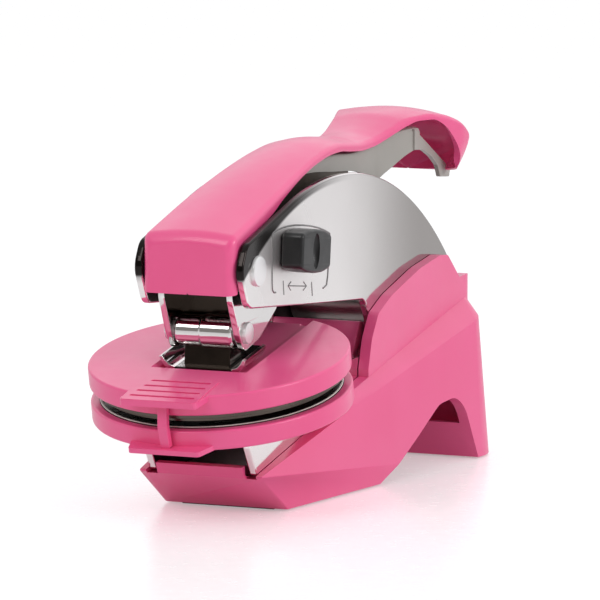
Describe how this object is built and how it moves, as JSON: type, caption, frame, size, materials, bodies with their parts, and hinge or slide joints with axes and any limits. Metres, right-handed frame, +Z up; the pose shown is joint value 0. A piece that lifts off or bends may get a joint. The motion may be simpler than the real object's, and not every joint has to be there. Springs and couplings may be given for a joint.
{
  "type": "desk seal embosser",
  "caption": "Hand press with a lever handle, a tilted C-frame in a hollow base, a swivelling ram foot and a removable round die clip for embossing paper.",
  "frame": {"origin": "on the table, in the middle of the whole object's footprint", "axes": "+Z up, +Y towards the rear along the handle, +X towards the side with the lock knob"},
  "size_m": [0.057, 0.142, 0.08],
  "materials": {
    "pink_plastic": "satin-gloss moulded plastic",
    "chrome": "mirror-bright chrome plate",
    "steel": "bright zinc-plated steel",
    "lever_steel": "dark bronze-brown coated steel",
    "grey_plastic": "warm light-grey satin plastic",
    "black_plastic": "black satin plastic",
    "die_metal": "dark turned metal with a bright edge",
    "rubber": "matt black rubber"
  },
  "bodies": {
    "frame": {"base_shell": "pink_plastic", "front_foot_pads": "rubber", "rear_foot_pad": "rubber", "base_screws": "steel", "tie_block": "steel", "frame_plate_left": "chrome", "frame_plate_right": "chrome", "frame_spacers": "steel", "frame_rivets": "chrome", "anvil_plate": "steel", "clip_catch": "pink_plastic", "spring_anchor_pin": "steel", "fulcrum_pin": "chrome", "fulcrum_washers": "steel", "return_spring": "steel"},
    "handle": {"lever_arm": "lever_steel", "grip_liner": "grey_plastic", "handle_cover": "pink_plastic", "cover_screws": "steel", "drive_pin": "steel"},
    "ram": {"ram_yoke": "chrome", "ram_pin": "chrome"},
    "foot": {"ram_foot": "chrome"},
    "lock": {"lock_knob": "black_plastic", "lock_slider": "steel"},
    "die_clip": {"lower_die_holder": "pink_plastic", "lower_die": "die_metal", "front_strap": "pink_plastic", "rear_hinge_strap": "pink_plastic"},
    "upper_carrier": {"upper_die_holder": "pink_plastic", "upper_die": "die_metal"}
  },
  "joints": [
    {"name": "handle_press", "type": "hinge", "parent": "frame", "child": "handle", "pos_m": [0, -0.0472, 0.0536], "axis": [-1, 0, 0], "range_deg": [0, 10], "stiffness_Nm_per_rad": 0.8, "springref_deg": -20.05, "deforming": ["return_spring"]},
    {"name": "ram_slide", "type": "slide", "parent": "frame", "child": "ram", "axis": [0, 0.1908, -0.9816], "range_m": [0, 0.002]},
    {"name": "foot_swivel", "type": "hinge", "parent": "ram", "child": "foot", "pos_m": [0, -0.0442, 0.0397], "axis": [1, 0, 0], "range_deg": [-1, 1]},
    {"name": "lock_slide", "type": "slide", "parent": "frame", "child": "lock", "axis": [0, 0.9945, -0.1045], "range_m": [0, 0.005]},
    {"name": "die_clip_slide", "type": "slide", "parent": "frame", "child": "die_clip", "axis": [0, -0.9816, -0.1908], "range_m": [0, 0.055]},
    {"name": "upper_die_slide", "type": "slide", "parent": "die_clip", "child": "upper_carrier", "axis": [0, 0.1908, -0.9816], "range_m": [0, 0.002], "deforming": ["front_strap", "rear_hinge_strap"]}
  ],
  "couplings": [
    {"joint": "ram_slide", "follows": "handle_press", "m_per_rad": 0.011459},
    {"joint": "upper_die_slide", "follows": "handle_press", "m_per_rad": 0.011459}
  ]
}
